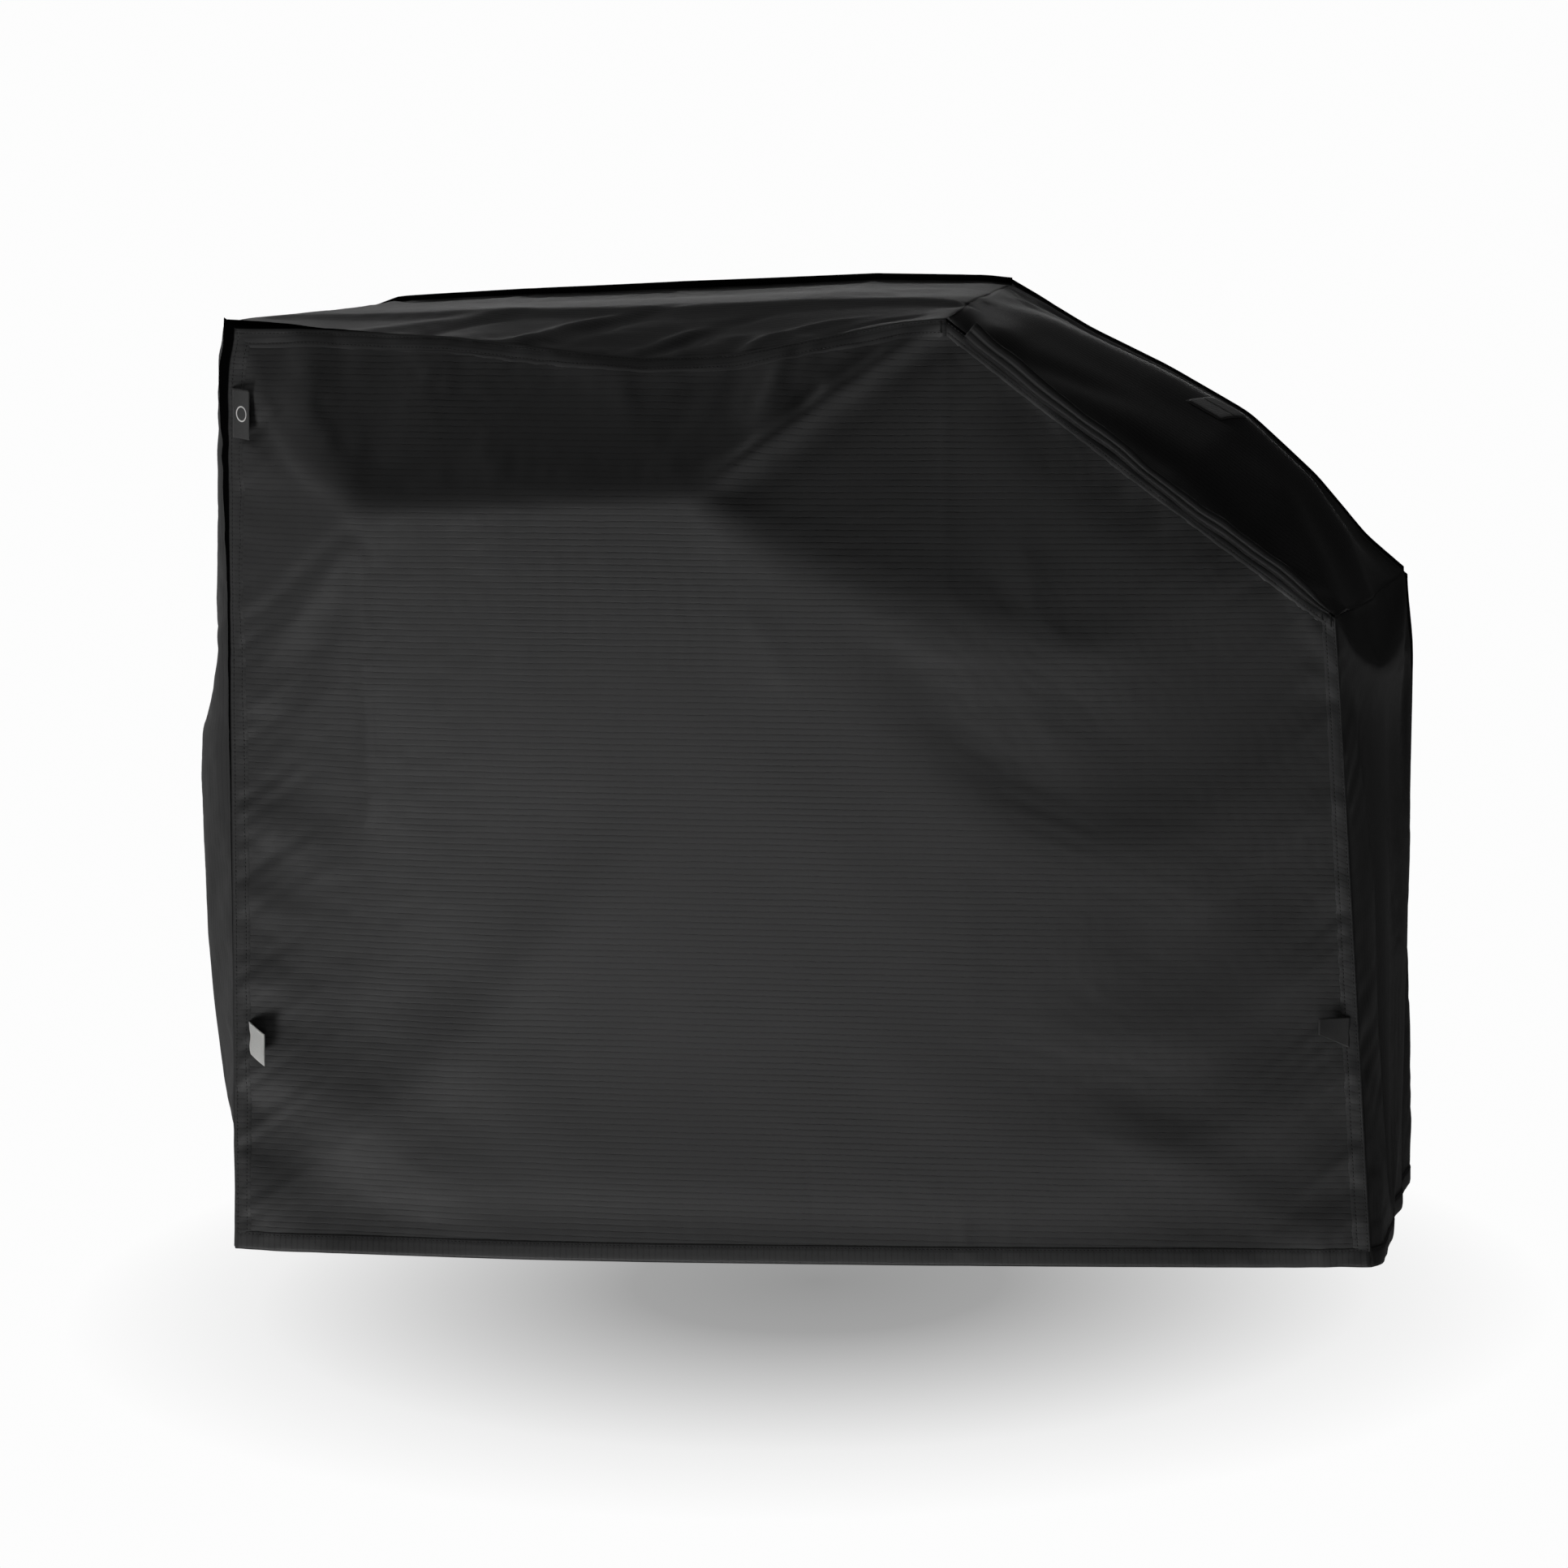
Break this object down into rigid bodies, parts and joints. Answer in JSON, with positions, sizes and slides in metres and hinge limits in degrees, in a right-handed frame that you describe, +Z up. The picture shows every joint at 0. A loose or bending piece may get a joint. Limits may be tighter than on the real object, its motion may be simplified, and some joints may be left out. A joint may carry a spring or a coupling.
{
  "type": "grill cover",
  "caption": "Fitted cloth cover for an outdoor grill, with a level top over the hood and a slope down to a lower side shelf, open at the bottom.",
  "frame": {"origin": "middle of the top panel's underside, where the grill's hood carries the cover; the hem is 1.11 m below it", "axes": "+X to the right seen from the front, +Y to the rear, +Z up"},
  "size_m": [1.459, 0.6917, 1.112],
  "materials": {
    "cover_cloth": "ribbed woven polyester, satin",
    "seam_cloth": "ribbed woven polyester, folded and topstitched",
    "hem_cloth": "ribbed woven polyester, folded and topstitched",
    "thread": "matte spun thread",
    "patch_cloth": "plain woven polyester, matte",
    "webbing": "woven webbing, matte",
    "woven_label": "damask woven label with a white emblem",
    "care_label": "white satin ribbon",
    "tab_cloth": "plain woven polyester, matte"
  },
  "bodies": {
    "cover": {"front_panel": "cover_cloth", "rear_panel": "cover_cloth", "left_side_panel": "cover_cloth", "top_panel": "cover_cloth", "slope_panel": "cover_cloth", "right_side_panel": "cover_cloth", "front_left_seam": "seam_cloth", "front_top_seam": "seam_cloth", "front_slope_seam": "seam_cloth", "front_slope_fold": "seam_cloth", "front_right_seam": "seam_cloth", "rear_left_seam": "seam_cloth", "rear_top_seam": "seam_cloth", "rear_slope_seam": "seam_cloth", "rear_right_seam": "seam_cloth", "hem_front": "hem_cloth", "hem_rear": "hem_cloth", "hem_left": "hem_cloth", "hem_right": "hem_cloth", "corner_bartacks": "thread", "patch_base": "patch_cloth", "patch_webbing": "webbing"},
    "logo_flap": {"logo_label": "woven_label"},
    "care_flap": {"care_label": "care_label"},
    "tab_flap": {"size_tab": "tab_cloth"}
  },
  "joints": [
    {"name": "logo_label_fold", "type": "hinge", "parent": "cover", "child": "logo_flap", "pos_m": [-0.4215, -0.3047, -0.12], "axis": [0, 0, 1], "range_deg": [-120, 6]},
    {"name": "care_label_fold", "type": "hinge", "parent": "cover", "child": "care_flap", "pos_m": [-0.412, -0.3032, -0.864], "axis": [0, 0, 1], "range_deg": [-100, 12]},
    {"name": "size_tab_fold", "type": "hinge", "parent": "cover", "child": "tab_flap", "pos_m": [0.89641, -0.3047, -0.824], "axis": [0, 0, 1], "range_deg": [-4, 110]}
  ]
}
